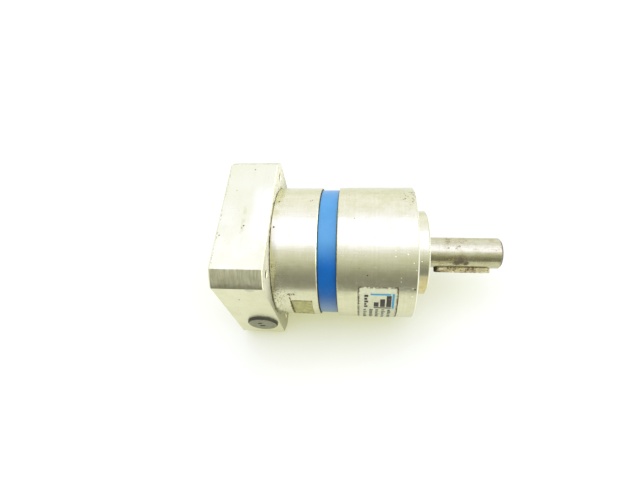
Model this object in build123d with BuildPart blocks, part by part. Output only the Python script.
"""Size-60 inline planetary gearbox with a clamping-hub motor adapter and a keyed output shaft.

Millimetres. The gearbox axis is X, with the output shaft towards +X. The origin is where the axis
meets the output mounting face. +Z is up, and the motor adapter lies on its -Z side.
Angles about the axis run from +Y towards +Z.
"""

import os
from math import acos, cos, pi, radians, sin, tan

from build123d import *

os.makedirs("parts", exist_ok=True)

# Running clearance between pieces that move past each other
RUN = 0.05

# Outer shape of the housings, along the axis from the output face
HOUSING_R = 30.0
HOUSING_END = -33.1
BAND_END = -41.2
BAND_R = 28.7
NECK_R = 27.7
CASE_R = 29.75
ADAPTER_X = -60.8
MOTOR_FACE = -82.5
ADAPTER_HALF = 32.0
ADAPTER_CORNER_R = 41.4

# Output side
PILOT_R = 19.25
PILOT_LENGTH = 6.0
PILOT_CHAMFER = 0.7
OUTPUT_BOLT_R = 26.0
M5_TAP_R = 2.1
OUTPUT_BOLT_DEPTH = 12.0
SHAFT_R = 7.0
SHAFT_TIP = 39.5
SEAL_SEAT_R = 8.5
REAR_SEAT_R = 10.0
KEY_WIDTH = 5.0
KEY_START = 10.35
KEY_LENGTH = 25.0
KEY_FLOOR_R = 4.0
KEY_TOP_R = 9.0
KEY_ANGLE = 211.0
SHAFT_THREAD_DEPTH = 12.0

# Output seal, seated in the pilot
SEAL_R = 14.0
SEAL_BACK = -0.4
SEAL_FRONT = 5.4
SEAL_WALL = 0.8
SEAL_FLANGE_R = 10.6
LIP_R = SEAL_SEAT_R + RUN

# Bearings: start and end along the axis, then the radii of the bore, the outside, the ball circle,
# a ball, the inner land and the outer land, then the number of balls
FRONT_BEARING = (-11.5, -1.5, SEAL_SEAT_R, 17.5, 13.0, 2.38, 11.4, 14.8, 10)
REAR_BEARING = (-24.5, -12.5, REAR_SEAT_R, 21.0, 15.5, 3.175, 13.4, 17.6, 9)
INPUT_BEARING = (-58.6, -51.6, 10.0, 16.0, 13.0, 1.75, 12.0, 14.1, 13)
CIRCLIP_THICK = 1.0
CIRCLIP_DEPTH = 0.5

# Joint between the two housings: a fine thread, a clamped bearing retainer and an O-ring
THREAD_R = 27.0
RETAINER_START = -26.0
RETAINER_END = REAR_BEARING[0]
RING_SEAT_R = 25.0
O_RING_CORD_R = 0.5
O_RING_GROOVE = 1.3
ADAPTER_O_RING_R = 18.6

# Gears: one stage, 18-tooth sun, three 18-tooth planets, 54-tooth ring, ratio 4 to 1
MODULE = 0.8
PRESSURE = radians(20)
SUN_TEETH = 18
PLANET_TEETH = 18
RING_TEETH = 54
PLANETS = 3
PLANET_ANGLE = 90.0
CENTRE_DISTANCE = MODULE * (SUN_TEETH + PLANET_TEETH) / 2
TOOTH_WIDTH = pi * MODULE / 2
THINNING = 0.06
ADDENDUM = MODULE
DEDENDUM = 1.25 * MODULE
RING_ADDENDUM = 0.7
GEAR_R = MODULE * PLANET_TEETH / 2
RING_PITCH_R = MODULE * RING_TEETH / 2

# Planet carrier: two plates joined by bridges, then the pins, rollers and washers that it holds
CARRIER_R = 20.4
CARRIER_FRONT = (-32.6, -27.0)
CARRIER_REAR = (-48.6, -45.8)
CARRIER_SEAT_R = 10.4
SHAFT_SHOULDER_R = 12.0
CARRIER_HOLE_R = 8.3
BRIDGE_INNER_R = 11.0
PIN_R = 3.0
PIN_END = -28.6
NEEDLE_R = 0.7
NEEDLES = 16
NEEDLE_CIRCLE_R = PIN_R + RUN + NEEDLE_R
PLANET_BORE_R = NEEDLE_CIRCLE_R + NEEDLE_R + RUN
WASHER_R = 6.0
WASHER_THICK = 0.5
PLANET_START = CARRIER_REAR[1] + 0.7
PLANET_END = CARRIER_FRONT[0] - 0.7
RING_START = -45.6
RING_END = -32.8
SUN_START = -45.5
SUN_END = -33.2

# Input hub and its clamp
HUB_BORE_R = 7.0
HUB_BORE_FLOOR = -51.4
HUB_R = 9.0
HUB_END = -77.2
HUB_SHOULDER_R = 11.6
HUB_NOSE = -49.4
SUN_STEM_R = 4.5
COLLAR_R = 17.0
COLLAR_START = -74.3
COLLAR_END = -63.3
CLAMP_X = (COLLAR_START + COLLAR_END) / 2
CLAMP_Z = -12.3
CLAMP_SEAT_Y = -4.0
CLAMP_SCREW_R = 2.0
CLAMP_HEAD_R = 3.5
CLAMP_HEAD = 4.0
CLAMP_LENGTH = 12.0

# Motor adapter
MOTOR_PILOT_R = 25.0
MOTOR_PILOT_DEPTH = 4.0
MOTOR_BOLT_R = 35.0
M4_TAP_R = 1.65
CAVITY_R = 17.9
CAVITY_FRONT = -63.0
ADAPTER_BORE_R = 13.5
FIXING_CIRCLE_R = 21.9
FIXING_R = 1.5
FIXING_HEAD_R = 2.75
FIXING_HEAD = 3.0
FIXING_SEAT = -70.0
FIXING_LENGTH = 16.0
ACCESS_R = 6.0
PLUG_HEAD_R = 7.05
PLUG_HEAD = 1.4
PLUG_LENGTH = 6.0

# Wrench flats on the gear case and the rating label on the output housing
FLAT_Y = 28.7
FLAT_START = -53.1
FLAT_END = -43.8
LABEL_START = -24.0
LABEL_END = -8.0
LABEL_CHORD = 30.4
LABEL_ANGLE = 178.0
LABEL_THICK = 0.12
LABEL_CORNER_R = 1.6


def half_section(*corners):
    """The face with these (x, radius) corners, ready to revolve about the gearbox axis."""
    with BuildSketch(Plane.XY) as section:
        with BuildLine():
            Polyline(*corners, close=True)
        make_face()
    return section.sketch


def save(piece, name):
    """Labels a finished piece and writes its STEP file."""
    piece.part.label = name
    export_step(piece.part, f"parts/{name}.step")


def polar(radius, angle):
    """A point at this radius and angle in radians."""
    return (radius * cos(angle), radius * sin(angle))


def involute(angle):
    """The involute function."""
    return tan(angle) - angle


def toothed_face(plane, teeth, root_r, tip_r, tooth, phase):
    """A filled gear outline: `tooth` is the width at the pitch circle and one tooth centres on `phase`."""
    pitch_r = MODULE * teeth / 2
    base_r = pitch_r * cos(PRESSURE)
    half_at_base = tooth / 2 / pitch_r + involute(PRESSURE)
    foot_r = max(root_r, base_r)
    radii = [foot_r + (tip_r - foot_r) * step / 3 for step in range(4)]
    half_angles = [half_at_base - involute(acos(min(1, base_r / r))) for r in radii]
    pitch_angle = 2 * pi / teeth
    with BuildSketch(plane) as face:
        with BuildLine():
            for index in range(teeth):
                centre = radians(phase) + index * pitch_angle
                rising = [polar(r, centre - half) for r, half in zip(radii, half_angles)]
                falling = [polar(r, centre + half) for r, half in zip(radii, half_angles)][::-1]
                root_start = polar(root_r, centre + half_angles[0])
                root_end = polar(root_r, centre + pitch_angle - half_angles[0])
                if foot_r > root_r:
                    Line(polar(root_r, centre - half_angles[0]), rising[0])
                    Line(falling[-1], root_start)
                Spline(*rising)
                ThreePointArc(rising[-1], polar(tip_r, centre), falling[0])
                Spline(*falling)
                ThreePointArc(root_start, polar(root_r, centre + pitch_angle / 2), root_end)
        make_face()
    return face.sketch


def ball_bearing(prefix, start, end, bore_r, outside_r, pitch_r, ball_r, inner_land, outer_land, balls):
    """Writes a deep-groove bearing's four pieces: inner ring, outer ring, balls and cage."""
    middle = (start + end) / 2
    cage_half_thick = 0.55
    cage_wall = 0.6
    pocket_gap = 0.1
    corner = 0.4

    with BuildPart() as inner:
        revolve(half_section((start, bore_r), (start, inner_land), (end, inner_land), (end, bore_r)), axis=Axis.X)
        with BuildSketch(Plane.XY) as groove:
            with Locations((middle, pitch_r)):
                Circle(ball_r + RUN)
        revolve(groove.sketch, axis=Axis.X, mode=Mode.SUBTRACT)
    save(inner, f"{prefix}_bearing_inner")

    with BuildPart() as outer:
        revolve(half_section((start, outer_land), (start, outside_r - corner), (start + corner, outside_r),
                             (end - corner, outside_r), (end, outside_r - corner), (end, outer_land)), axis=Axis.X)
        revolve(groove.sketch, axis=Axis.X, mode=Mode.SUBTRACT)
    save(outer, f"{prefix}_bearing_outer")

    with BuildPart(Plane.YZ.offset(middle)) as ball_set:
        with PolarLocations(pitch_r, balls):
            Sphere(ball_r)
    save(ball_set, f"{prefix}_bearing_balls")

    cage_half = ball_r + pocket_gap + cage_wall
    with BuildPart(Plane.YZ.offset(middle)) as cage:
        Cylinder(pitch_r + cage_half_thick, 2 * cage_half)
        Cylinder(pitch_r - cage_half_thick, 2 * cage_half, mode=Mode.SUBTRACT)
        with PolarLocations(pitch_r, balls):
            Cylinder(ball_r + pocket_gap, 4 * cage_half_thick, rotation=(0, 90, 0), mode=Mode.SUBTRACT)
    save(cage, f"{prefix}_bearing_cage")


def circlip(name, start, groove_r, outside_r):
    """Writes an external circlip with a gap and two plier eyes on its +Z side."""
    eye_r = 1.3
    eye_hole_r = 0.6
    gap = 3.0
    eye_z = (groove_r + outside_r) / 2 + 0.2
    eye_y = (gap + eye_r) / 2
    with BuildPart() as clip:
        with BuildSketch(Plane.YZ.offset(start)):
            Circle(outside_r)
            Circle(groove_r, mode=Mode.SUBTRACT)
            with Locations((0, eye_z)):
                Rectangle(gap, 2 * (outside_r - groove_r) + 1, mode=Mode.SUBTRACT)
            with Locations((-eye_y, eye_z), (eye_y, eye_z)):
                Circle(eye_r)
            Circle(groove_r, mode=Mode.SUBTRACT)
            with Locations((-eye_y, eye_z), (eye_y, eye_z)):
                Circle(eye_hole_r, mode=Mode.SUBTRACT)
        extrude(amount=CIRCLIP_THICK)
    save(clip, name)


def o_ring(name, centre_x, centre_r, cord_r):
    """Writes an O-ring or a garter spring as a plain torus."""
    with BuildPart() as ring:
        with BuildSketch(Plane.XY):
            with Locations((centre_x, centre_r)):
                Circle(cord_r)
        revolve(axis=Axis.X)
    save(ring, name)


# ---------------------------------------------------------------- output housing
# Turned aluminium: the pilot, the mounting face, the bearing seats and a threaded rear socket.
with BuildPart() as front_housing:
    face_chamfer = 0.6
    joint_chamfer = 0.35
    web_r = 12.6
    revolve(
        half_section(
            (PILOT_LENGTH, SEAL_R),
            (PILOT_LENGTH, PILOT_R - PILOT_CHAMFER),
            (PILOT_LENGTH - PILOT_CHAMFER, PILOT_R),
            (0, PILOT_R),
            (0, HOUSING_R - face_chamfer),
            (-face_chamfer, HOUSING_R),
            (HOUSING_END + joint_chamfer, HOUSING_R),
            (HOUSING_END, HOUSING_R - joint_chamfer),
            (HOUSING_END, THREAD_R),
            (RETAINER_END, THREAD_R),
            (RETAINER_END, REAR_BEARING[3]),
            (REAR_BEARING[1], REAR_BEARING[3]),
            (REAR_BEARING[1], FRONT_BEARING[3]),
            (FRONT_BEARING[1], FRONT_BEARING[3]),
            (FRONT_BEARING[1], web_r),
            (SEAL_BACK, web_r),
            (SEAL_BACK, SEAL_R),
        ),
        axis=Axis.X,
    )
    with BuildSketch(Plane.YZ):
        with PolarLocations(OUTPUT_BOLT_R, 4, start_angle=45):
            Circle(M5_TAP_R)
    extrude(amount=-OUTPUT_BOLT_DEPTH, mode=Mode.SUBTRACT)
save(front_housing, "front_housing")

# ---------------------------------------------------------------- gear case
# Turned aluminium cup: threaded spigot, ring-gear seat, input-bearing seat and two wrench flats.
with BuildPart() as gear_case:
    spigot_chamfer = 0.4
    edge_chamfer = 0.35
    relief = 0.4
    groove_floor_r = THREAD_R - 2 * O_RING_CORD_R
    lip_r = 14.0
    lip_end = -50.7
    cavity_r = 23.3
    revolve(
        half_section(
            (RETAINER_START, RING_SEAT_R),
            (RETAINER_START, THREAD_R - spigot_chamfer),
            (RETAINER_START - spigot_chamfer, THREAD_R),
            (HOUSING_END + O_RING_GROOVE, THREAD_R),
            (HOUSING_END + O_RING_GROOVE, groove_floor_r),
            (HOUSING_END, groove_floor_r),
            (HOUSING_END, NECK_R),
            (BAND_END, NECK_R),
            (BAND_END, CASE_R - edge_chamfer),
            (BAND_END - edge_chamfer, CASE_R),
            (ADAPTER_X + relief, CASE_R),
            (ADAPTER_X + relief, CASE_R - relief),
            (ADAPTER_X, CASE_R - relief),
            (ADAPTER_X, INPUT_BEARING[3]),
            (INPUT_BEARING[1], INPUT_BEARING[3]),
            (INPUT_BEARING[1], lip_r),
            (lip_end, lip_r),
            (lip_end, cavity_r),
            (RING_START, cavity_r),
            (RING_START, RING_SEAT_R),
        ),
        axis=Axis.X,
    )
    # wrench flats, front and back
    flat_cut = CASE_R - FLAT_Y + 1
    with BuildSketch(Plane.XY.offset(-HOUSING_R)):
        for side in (-1, 1):
            with Locations(((FLAT_START + FLAT_END) / 2, side * (FLAT_Y + flat_cut / 2))):
                Rectangle(FLAT_END - FLAT_START, flat_cut)
    extrude(amount=2 * HOUSING_R, mode=Mode.SUBTRACT)
    # tapped holes for the adapter screws
    with BuildSketch(Plane.YZ.offset(ADAPTER_X)):
        with PolarLocations(FIXING_CIRCLE_R, 4):
            Circle(FIXING_R)
    extrude(amount=FIXING_SEAT + FIXING_LENGTH - ADAPTER_X + 0.6, mode=Mode.SUBTRACT)
    # face groove for the adapter O-ring
    with BuildSketch(Plane.YZ.offset(ADAPTER_X)):
        Circle(ADAPTER_O_RING_R + O_RING_GROOVE / 2)
        Circle(ADAPTER_O_RING_R - O_RING_GROOVE / 2, mode=Mode.SUBTRACT)
    extrude(amount=2 * O_RING_CORD_R, mode=Mode.SUBTRACT)
save(gear_case, "gear_case")

o_ring("case_o_ring", HOUSING_END + O_RING_GROOVE / 2, THREAD_R - O_RING_CORD_R, O_RING_CORD_R)
o_ring("adapter_o_ring", ADAPTER_X + O_RING_CORD_R, ADAPTER_O_RING_R, O_RING_CORD_R)

# ---------------------------------------------------------------- blue band over the joint
with BuildPart() as trim_band:
    side_gap = 0.12
    band_round = 0.25
    band_start = BAND_END + side_gap
    band_end = HOUSING_END - side_gap
    revolve(
        half_section(
            (band_start, NECK_R),
            (band_start, BAND_R - band_round),
            (band_start + band_round, BAND_R),
            (band_end - band_round, BAND_R),
            (band_end, BAND_R - band_round),
            (band_end, NECK_R),
        ),
        axis=Axis.X,
    )
save(trim_band, "trim_band")

# ---------------------------------------------------------------- rating label
# A thin sheet wrapped round the output housing, with rounded corners.
with BuildPart() as rating_label:
    outward = Vector(0, cos(radians(LABEL_ANGLE)), sin(radians(LABEL_ANGLE)))
    label_middle = Vector((LABEL_START + LABEL_END) / 2, 0, 0)
    with BuildSketch(Plane.YZ.offset(LABEL_START)):
        Circle(HOUSING_R + LABEL_THICK)
        Circle(HOUSING_R, mode=Mode.SUBTRACT)
    extrude(amount=LABEL_END - LABEL_START)
    with BuildSketch(Plane(origin=label_middle, x_dir=(1, 0, 0), z_dir=outward)):
        RectangleRounded(LABEL_END - LABEL_START, LABEL_CHORD, LABEL_CORNER_R)
    extrude(amount=HOUSING_R + 1, mode=Mode.INTERSECT)
save(rating_label, "rating_label")

# ---------------------------------------------------------------- motor adapter
# Square aluminium plate with turned corners. The motor's pilot sits in its rear recess.
with BuildPart() as motor_adapter:
    rear_edge_break = 0.7
    front_edge_break = 0.3
    with BuildSketch(Plane.YZ.offset(MOTOR_FACE)):
        Circle(ADAPTER_CORNER_R)
        Rectangle(2 * ADAPTER_HALF, 2 * ADAPTER_HALF, mode=Mode.INTERSECT)
    extrude(amount=ADAPTER_X - MOTOR_FACE)
    chamfer(edges().group_by(Axis.X)[0], rear_edge_break)
    chamfer(edges().group_by(Axis.X)[-1], front_edge_break)
    # register that enters the input-bearing seat
    with BuildSketch(Plane.YZ.offset(ADAPTER_X)):
        Circle(INPUT_BEARING[3])
    extrude(amount=INPUT_BEARING[0] - ADAPTER_X)
    # motor pilot, hub cavity and bore, from the motor side inwards
    for radius, floor in ((MOTOR_PILOT_R, MOTOR_FACE + MOTOR_PILOT_DEPTH), (CAVITY_R, CAVITY_FRONT),
                          (ADAPTER_BORE_R, INPUT_BEARING[0])):
        with BuildSketch(Plane.YZ.offset(MOTOR_FACE)):
            Circle(radius)
        extrude(amount=floor - MOTOR_FACE, mode=Mode.SUBTRACT)
    # tapped motor holes right through, countersunk at both ends
    with BuildSketch(Plane.YZ.offset(MOTOR_FACE)):
        with PolarLocations(MOTOR_BOLT_R, 4, start_angle=45):
            Circle(M4_TAP_R)
    extrude(amount=ADAPTER_X - MOTOR_FACE, mode=Mode.SUBTRACT)
    tapped_edges = [edge for edge in edges().filter_by(GeomType.CIRCLE) if abs(edge.radius - M4_TAP_R) < 0.01]
    chamfer(tapped_edges, 0.35)
    # counterbored holes for the fixing screws
    for radius, end in ((FIXING_R + 0.1, ADAPTER_X), (FIXING_HEAD_R + 0.25, FIXING_SEAT)):
        with BuildSketch(Plane.YZ.offset(MOTOR_FACE)):
            with PolarLocations(FIXING_CIRCLE_R, 4):
                Circle(radius)
        extrude(amount=end - MOTOR_FACE, mode=Mode.SUBTRACT)
    # access hole to the clamp screw
    with BuildSketch(Plane.XZ.offset(ADAPTER_HALF)):
        with Locations((CLAMP_X, CLAMP_Z)):
            Circle(ACCESS_R)
    extrude(amount=-(ADAPTER_HALF - CAVITY_R / 2), mode=Mode.SUBTRACT)
save(motor_adapter, "motor_adapter")

with BuildPart() as adapter_screws:
    socket_r = 1.25
    with BuildSketch(Plane.YZ.offset(FIXING_SEAT)):
        with PolarLocations(FIXING_CIRCLE_R, 4):
            Circle(FIXING_R)
    extrude(amount=FIXING_LENGTH)
    with BuildSketch(Plane.YZ.offset(FIXING_SEAT)):
        with PolarLocations(FIXING_CIRCLE_R, 4):
            Circle(FIXING_HEAD_R)
    extrude(amount=-FIXING_HEAD)
    with BuildSketch(Plane.YZ.offset(FIXING_SEAT - FIXING_HEAD)):
        with PolarLocations(FIXING_CIRCLE_R, 4):
            RegularPolygon(socket_r, 6, major_radius=False)
    extrude(amount=FIXING_HEAD / 2, mode=Mode.SUBTRACT)
save(adapter_screws, "adapter_screws")

# ---------------------------------------------------------------- plug over the clamp-screw access hole
# A stepped cap with two short pry slots, on a hollow push-in shank.
with BuildPart() as access_plug:
    cap_plane = Plane.XZ.offset(ADAPTER_HALF)
    step = 0.6
    wall = 1.5
    slot_depth = 0.45
    centre = (CLAMP_X, CLAMP_Z)
    with BuildSketch(cap_plane):
        with Locations(centre):
            Circle(PLUG_HEAD_R)
    extrude(amount=PLUG_HEAD - step)
    with BuildSketch(cap_plane.offset(PLUG_HEAD - step)):
        with Locations(centre):
            Circle(PLUG_HEAD_R - 0.45)
    extrude(amount=step)
    chamfer(edges().group_by(Axis.Y)[0], 0.2)
    with BuildSketch(cap_plane):
        with Locations(centre):
            Circle(ACCESS_R - RUN)
    extrude(amount=-PLUG_LENGTH)
    with BuildSketch(cap_plane.offset(-PLUG_LENGTH)):
        with Locations(centre):
            Circle(ACCESS_R - RUN - wall)
    extrude(amount=PLUG_LENGTH, mode=Mode.SUBTRACT)
    with BuildSketch(cap_plane.offset(PLUG_HEAD)):
        with Locations((CLAMP_X - 1.0, CLAMP_Z + 1.5)):
            Rectangle(2.0, 1.3)
        with Locations((CLAMP_X - 0.3, CLAMP_Z - 1.5)):
            Rectangle(2.6, 1.3)
    extrude(amount=-slot_depth, mode=Mode.SUBTRACT)
save(access_plug, "access_plug")

# ---------------------------------------------------------------- output shaft, key and carrier
# The shaft carries both output bearings. Its rear head is pressed into the planet carrier.
key_out = Vector(0, cos(radians(KEY_ANGLE)), sin(radians(KEY_ANGLE)))
key_plane = Plane(
    origin=Vector(KEY_START + KEY_LENGTH / 2, 0, 0) + key_out * KEY_FLOOR_R, x_dir=(1, 0, 0), z_dir=key_out
)

with BuildPart() as output_shaft:
    tip_chamfer = 0.9
    seal_seat_end = 5.0
    centre_mouth_r = 3.1
    centre_start = SHAFT_TIP - (centre_mouth_r - M5_TAP_R)
    circlip_floor_r = SEAL_SEAT_R - CIRCLIP_DEPTH
    circlip_front = FRONT_BEARING[1] + CIRCLIP_THICK
    revolve(
        half_section(
            (CARRIER_FRONT[0], 0),
            (CARRIER_FRONT[0], CARRIER_SEAT_R),
            (CARRIER_FRONT[1], CARRIER_SEAT_R),
            (CARRIER_FRONT[1], SHAFT_SHOULDER_R),
            (REAR_BEARING[0], SHAFT_SHOULDER_R),
            (REAR_BEARING[0], REAR_SEAT_R),
            (FRONT_BEARING[0], REAR_SEAT_R),
            (FRONT_BEARING[0], SEAL_SEAT_R),
            (FRONT_BEARING[1], SEAL_SEAT_R),
            (FRONT_BEARING[1], circlip_floor_r),
            (circlip_front, circlip_floor_r),
            (circlip_front, SEAL_SEAT_R),
            (seal_seat_end, SEAL_SEAT_R),
            (seal_seat_end + 0.4, SEAL_SEAT_R - 0.4),
            (seal_seat_end + 0.4, SHAFT_R),
            (SHAFT_TIP - tip_chamfer, SHAFT_R),
            (SHAFT_TIP, SHAFT_R - tip_chamfer),
            (SHAFT_TIP, centre_mouth_r),
            (centre_start, M5_TAP_R),
            (centre_start - SHAFT_THREAD_DEPTH, M5_TAP_R),
            (centre_start - SHAFT_THREAD_DEPTH - M5_TAP_R / 2, 0),
        ),
        axis=Axis.X,
    )
    with BuildSketch(key_plane):
        SlotOverall(KEY_LENGTH, KEY_WIDTH)
    extrude(amount=SHAFT_R, mode=Mode.SUBTRACT)
save(output_shaft, "output_shaft")

with BuildPart() as output_key:
    with BuildSketch(key_plane):
        SlotOverall(KEY_LENGTH, KEY_WIDTH)
    extrude(amount=KEY_TOP_R - KEY_FLOOR_R)
    chamfer(edges().group_by(Axis((0, 0, 0), key_out))[-1], 0.25)
save(output_key, "output_key")

circlip("shaft_circlip", FRONT_BEARING[1], SEAL_SEAT_R - CIRCLIP_DEPTH, 10.4)

with BuildPart() as planet_carrier:
    planet_clearance_r = GEAR_R + ADDENDUM + 0.7
    for start, end in (CARRIER_FRONT, CARRIER_REAR):
        with BuildSketch(Plane.YZ.offset(start)):
            Circle(CARRIER_R)
        extrude(amount=end - start)
    with BuildSketch(Plane.YZ.offset(CARRIER_REAR[1])):
        Circle(CARRIER_R)
        Circle(BRIDGE_INNER_R, mode=Mode.SUBTRACT)
        with PolarLocations(CENTRE_DISTANCE, PLANETS, start_angle=PLANET_ANGLE):
            Circle(planet_clearance_r, mode=Mode.SUBTRACT)
    extrude(amount=CARRIER_FRONT[0] - CARRIER_REAR[1])
    with BuildSketch(Plane.YZ.offset(CARRIER_REAR[0])):
        Circle(CARRIER_HOLE_R)
    extrude(amount=CARRIER_REAR[1] - CARRIER_REAR[0], mode=Mode.SUBTRACT)
    with BuildSketch(Plane.YZ.offset(CARRIER_FRONT[0])):
        Circle(CARRIER_SEAT_R)
    extrude(amount=CARRIER_FRONT[1] - CARRIER_FRONT[0], mode=Mode.SUBTRACT)
    with BuildSketch(Plane.YZ.offset(CARRIER_REAR[0])):
        with PolarLocations(CENTRE_DISTANCE, PLANETS, start_angle=PLANET_ANGLE):
            Circle(PIN_R)
    extrude(amount=PIN_END - CARRIER_REAR[0], mode=Mode.SUBTRACT)
save(planet_carrier, "planet_carrier")

with BuildPart() as planet_pins:
    with BuildSketch(Plane.YZ.offset(CARRIER_REAR[0])):
        with PolarLocations(CENTRE_DISTANCE, PLANETS, start_angle=PLANET_ANGLE):
            Circle(PIN_R)
    extrude(amount=PIN_END - CARRIER_REAR[0])
save(planet_pins, "planet_pins")

with BuildPart() as thrust_washers:
    for start in (CARRIER_REAR[1], CARRIER_FRONT[0] - WASHER_THICK):
        with BuildSketch(Plane.YZ.offset(start)):
            with PolarLocations(CENTRE_DISTANCE, PLANETS, start_angle=PLANET_ANGLE):
                Circle(WASHER_R)
                Circle(PIN_R, mode=Mode.SUBTRACT)
        extrude(amount=WASHER_THICK)
save(thrust_washers, "thrust_washers")

# ---------------------------------------------------------------- output bearings, retainer and seal
ball_bearing("front", *FRONT_BEARING)
ball_bearing("rear", *REAR_BEARING)

with BuildPart() as bearing_retainer:
    retainer_hole_r = 18.5
    retainer_r = THREAD_R - 0.1
    revolve(
        half_section(
            (RETAINER_START, retainer_hole_r),
            (RETAINER_START, retainer_r),
            (RETAINER_END, retainer_r),
            (RETAINER_END, retainer_hole_r),
        ),
        axis=Axis.X,
    )
save(bearing_retainer, "bearing_retainer")

with BuildPart() as output_seal_case:
    revolve(
        half_section(
            (SEAL_BACK, SEAL_R - SEAL_WALL),
            (SEAL_BACK, SEAL_R),
            (SEAL_FRONT, SEAL_R),
            (SEAL_FRONT, SEAL_FLANGE_R),
            (SEAL_FRONT - SEAL_WALL, SEAL_FLANGE_R),
            (SEAL_FRONT - SEAL_WALL, SEAL_R - SEAL_WALL),
        ),
        axis=Axis.X,
    )
save(output_seal_case, "output_seal_case")

with BuildPart() as output_seal_lip:
    spring_x = 1.4
    spring_cord_r = 0.45
    lip_back_r = 10.1
    revolve(
        half_section(
            (SEAL_FRONT, SEAL_FLANGE_R),
            (SEAL_FRONT, LIP_R + 0.5),
            (SEAL_FRONT - 0.5, LIP_R),
            (SEAL_FRONT - 1.2, LIP_R + 0.7),
            (spring_x + 0.5, LIP_R + 0.5),
            (spring_x, LIP_R),
            (spring_x - 0.9, LIP_R + 1.0),
            (spring_x - 0.9, lip_back_r),
            (SEAL_FRONT - 1.6, lip_back_r),
            (SEAL_FRONT - SEAL_WALL, SEAL_FLANGE_R),
        ),
        axis=Axis.X,
    )
save(output_seal_lip, "output_seal_lip")

o_ring("output_seal_spring", spring_x, lip_back_r + spring_cord_r + RUN, spring_cord_r)

# ---------------------------------------------------------------- ring gear, planets and their needle rollers
with BuildPart() as ring_gear:
    with BuildSketch(Plane.YZ.offset(RING_START)):
        Circle(RING_SEAT_R)
    extrude(amount=RING_END - RING_START)
    tooth_spaces = toothed_face(
        Plane.YZ.offset(RING_START), RING_TEETH, RING_PITCH_R - RING_ADDENDUM, RING_PITCH_R + DEDENDUM,
        TOOTH_WIDTH + THINNING, 180 / RING_TEETH
    )
    extrude(tooth_spaces, amount=RING_END - RING_START, mode=Mode.SUBTRACT)
save(ring_gear, "ring_gear")

for number in range(PLANETS):
    planet_angle = PLANET_ANGLE + number * 360 / PLANETS
    planet_y, planet_z = polar(CENTRE_DISTANCE, radians(planet_angle))
    gear_plane = Plane(origin=(PLANET_START, planet_y, planet_z), x_dir=(0, 1, 0), z_dir=(1, 0, 0))
    gear_length = PLANET_END - PLANET_START

    with BuildPart() as planet_gear:
        planet_outline = toothed_face(
            gear_plane, PLANET_TEETH, GEAR_R - DEDENDUM, GEAR_R + ADDENDUM, TOOTH_WIDTH - THINNING, planet_angle
        )
        extrude(planet_outline, amount=gear_length)
        with BuildSketch(gear_plane):
            Circle(PLANET_BORE_R)
        extrude(amount=gear_length, mode=Mode.SUBTRACT)
    save(planet_gear, f"planet_gear_{number + 1}")

    with BuildPart() as planet_needles:
        end_gap = 0.1
        with BuildSketch(gear_plane.offset(end_gap)):
            with PolarLocations(NEEDLE_CIRCLE_R, NEEDLES):
                Circle(NEEDLE_R)
        extrude(amount=gear_length - 2 * end_gap)
    save(planet_needles, f"planet_needles_{number + 1}")

# ---------------------------------------------------------------- input hub, sun gear and clamp
ball_bearing("input", *INPUT_BEARING)

with BuildPart() as input_bearing_shield:
    shield_inset = 0.15
    shield_thick = 0.3
    shield_start = INPUT_BEARING[0] + shield_inset
    revolve(
        half_section(
            (shield_start, INPUT_BEARING[6] + RUN),
            (shield_start, INPUT_BEARING[7]),
            (shield_start + shield_thick, INPUT_BEARING[7]),
            (shield_start + shield_thick, INPUT_BEARING[6] + RUN),
        ),
        axis=Axis.X,
    )
save(input_bearing_shield, "input_bearing_shield")

with BuildPart() as input_hub:
    mouth_chamfer = 0.3
    slit_width = 1.2
    slit_floor = -64.5
    seat_r = INPUT_BEARING[2]
    circlip_end = INPUT_BEARING[1] + CIRCLIP_THICK
    revolve(
        half_section(
            (HUB_END, HUB_BORE_R + mouth_chamfer),
            (HUB_END, HUB_R - mouth_chamfer),
            (HUB_END + mouth_chamfer, HUB_R),
            (COLLAR_END, HUB_R),
            (COLLAR_END, HUB_SHOULDER_R),
            (INPUT_BEARING[0], HUB_SHOULDER_R),
            (INPUT_BEARING[0], seat_r),
            (INPUT_BEARING[1], seat_r),
            (INPUT_BEARING[1], seat_r - CIRCLIP_DEPTH),
            (circlip_end, seat_r - CIRCLIP_DEPTH),
            (circlip_end, seat_r),
            (HUB_NOSE - mouth_chamfer, seat_r),
            (HUB_NOSE, seat_r - mouth_chamfer),
            (HUB_NOSE, SUN_STEM_R),
            (SUN_END, SUN_STEM_R),
            (SUN_END, 0),
            (HUB_BORE_FLOOR, 0),
            (HUB_BORE_FLOOR, HUB_BORE_R),
            (HUB_END + mouth_chamfer, HUB_BORE_R),
        ),
        axis=Axis.X,
    )
    with BuildSketch(Plane.YZ.offset(HUB_END)):
        Rectangle(2 * HUB_R + 1, slit_width)
        Rectangle(slit_width, 2 * HUB_R + 1)
    extrude(amount=slit_floor - HUB_END, mode=Mode.SUBTRACT)
save(input_hub, "input_hub")

circlip("hub_circlip", INPUT_BEARING[1], INPUT_BEARING[2] - CIRCLIP_DEPTH, 12.0)

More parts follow.
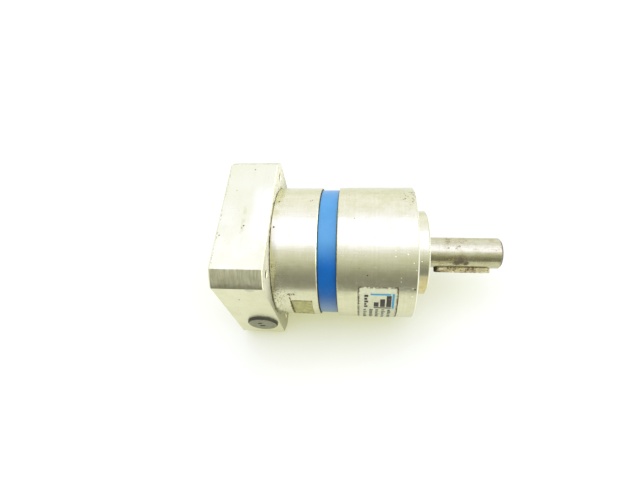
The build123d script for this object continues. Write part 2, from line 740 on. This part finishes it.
with BuildPart() as sun_gear:
    sun_outline = toothed_face(
        Plane.YZ.offset(SUN_START), SUN_TEETH, GEAR_R - DEDENDUM, GEAR_R + ADDENDUM, TOOTH_WIDTH - THINNING, 0
    )
    extrude(sun_outline, amount=SUN_END - SUN_START)
    with BuildSketch(Plane.YZ.offset(SUN_START)):
        Circle(SUN_STEM_R)
    extrude(amount=SUN_END - SUN_START, mode=Mode.SUBTRACT)
save(sun_gear, "sun_gear")

# Split collar: the screw lies across the slit, square to the axis, below the hub
with BuildPart() as clamp_collar:
    slit_half = 0.75
    with BuildSketch(Plane.YZ.offset(COLLAR_START)):
        Circle(COLLAR_R)
        Circle(HUB_R, mode=Mode.SUBTRACT)
        with Locations((0, -(COLLAR_R + HUB_R) / 2)):
            Rectangle(2 * slit_half, COLLAR_R, mode=Mode.SUBTRACT)
    extrude(amount=COLLAR_END - COLLAR_START)
    screw_plane = Plane(origin=(CLAMP_X, 0, CLAMP_Z), x_dir=(1, 0, 0), z_dir=(0, -1, 0))
    with BuildSketch(screw_plane.offset(-CLAMP_SEAT_Y)):
        Circle(CLAMP_HEAD_R + 0.2)
    extrude(amount=COLLAR_R, mode=Mode.SUBTRACT)
    with BuildSketch(screw_plane):
        Circle(CLAMP_SCREW_R + 0.15)
    extrude(amount=-CLAMP_SEAT_Y, mode=Mode.SUBTRACT)
    with BuildSketch(screw_plane):
        Circle(CLAMP_SCREW_R)
    extrude(amount=-COLLAR_R, mode=Mode.SUBTRACT)
save(clamp_collar, "clamp_collar")

with BuildPart() as clamp_screw:
    with BuildSketch(screw_plane.offset(-CLAMP_SEAT_Y)):
        Circle(CLAMP_SCREW_R)
    extrude(amount=-CLAMP_LENGTH)
    with BuildSketch(screw_plane.offset(-CLAMP_SEAT_Y)):
        Circle(CLAMP_HEAD_R)
    extrude(amount=CLAMP_HEAD)
    chamfer(edges().group_by(Axis.Y)[0], 0.3)
    with BuildSketch(screw_plane.offset(CLAMP_HEAD - CLAMP_SEAT_Y)):
        RegularPolygon(1.5, 6, major_radius=False)
    extrude(amount=-CLAMP_HEAD / 2, mode=Mode.SUBTRACT)
save(clamp_screw, "clamp_screw")
